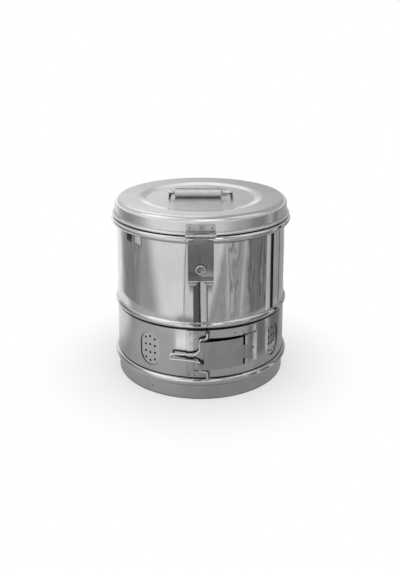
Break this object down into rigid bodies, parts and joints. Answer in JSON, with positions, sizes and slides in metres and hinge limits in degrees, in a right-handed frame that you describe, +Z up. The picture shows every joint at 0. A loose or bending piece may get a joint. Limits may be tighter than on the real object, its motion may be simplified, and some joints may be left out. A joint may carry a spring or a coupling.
{
  "type": "sterilizing drum",
  "caption": "Round steel drum with hinged lid, folding handle, snap hasp and a clasped sliding band whose windows open over steam holes.",
  "frame": {"origin": "centre of the foot ring on the surface the drum stands on", "axes": "+Z up along the drum's axis, -Y towards the front with the hasp, +Y towards the lid's hinge"},
  "size_m": [0.2549, 0.2656, 0.2621],
  "materials": {
    "shell_steel": "polished stainless steel",
    "lid_steel": "satin stainless steel",
    "band_steel": "semi-bright stainless steel sheet",
    "fitting_steel": "semi-bright stainless steel strip",
    "wire_steel": "bright drawn stainless steel wire"
  },
  "bodies": {
    "drum": {"drum_shell": "shell_steel", "drum_bottom": "shell_steel", "base_ring": "band_steel", "keeper_stud": "fitting_steel", "body_hinge_leaf": "fitting_steel"},
    "lid": {"lid_pan": "lid_steel", "lid_hinge_leaf": "fitting_steel", "lid_hinge_pin": "wire_steel", "hasp_leaf": "fitting_steel", "hasp_pin": "wire_steel", "handle_saddle": "fitting_steel"},
    "hasp": {"hasp_strap": "fitting_steel", "snap_button": "fitting_steel"},
    "handle": {"handle_bail": "wire_steel", "handle_grip": "lid_steel"},
    "band": {"sliding_band": "band_steel", "bridge_strip": "band_steel", "hook_plate": "fitting_steel", "clasp_leaf": "fitting_steel", "clasp_pin": "wire_steel"},
    "flap": {"draw_flap": "band_steel"},
    "lever": {"wire_lever": "wire_steel"}
  },
  "joints": [
    {"name": "lid_hinge", "type": "hinge", "parent": "drum", "child": "lid", "pos_m": [0, 0.1303, 0.229], "axis": [-1, 0, 0], "range_deg": [0, 110]},
    {"name": "hasp_hinge", "type": "hinge", "parent": "lid", "child": "hasp", "pos_m": [0, -0.1303, 0.229], "axis": [-1, 0, 0], "range_deg": [0, 165]},
    {"name": "handle_swing", "type": "hinge", "parent": "lid", "child": "handle", "pos_m": [0, 0.03, 0.2501], "axis": [-1, 0, 0], "range_deg": [0, 160]},
    {"name": "band_turn", "type": "hinge", "parent": "drum", "child": "band", "pos_m": [0, 0, 0.065], "axis": [0, 0, 1], "continuous": true},
    {"name": "flap_hinge", "type": "hinge", "parent": "band", "child": "flap", "pos_m": [0.06041, -0.1072, 0.0649], "axis": [0, 0, 1], "range_deg": [0, 90]},
    {"name": "lever_hinge", "type": "hinge", "parent": "flap", "child": "lever", "pos_m": [-0.00109, -0.1252, 0.0649], "axis": [0, 0, 1], "range_deg": [0, 135]}
  ],
  "couplings": [
    {"joint": "lever_hinge", "follows": "flap_hinge", "ratio": 1.5}
  ]
}
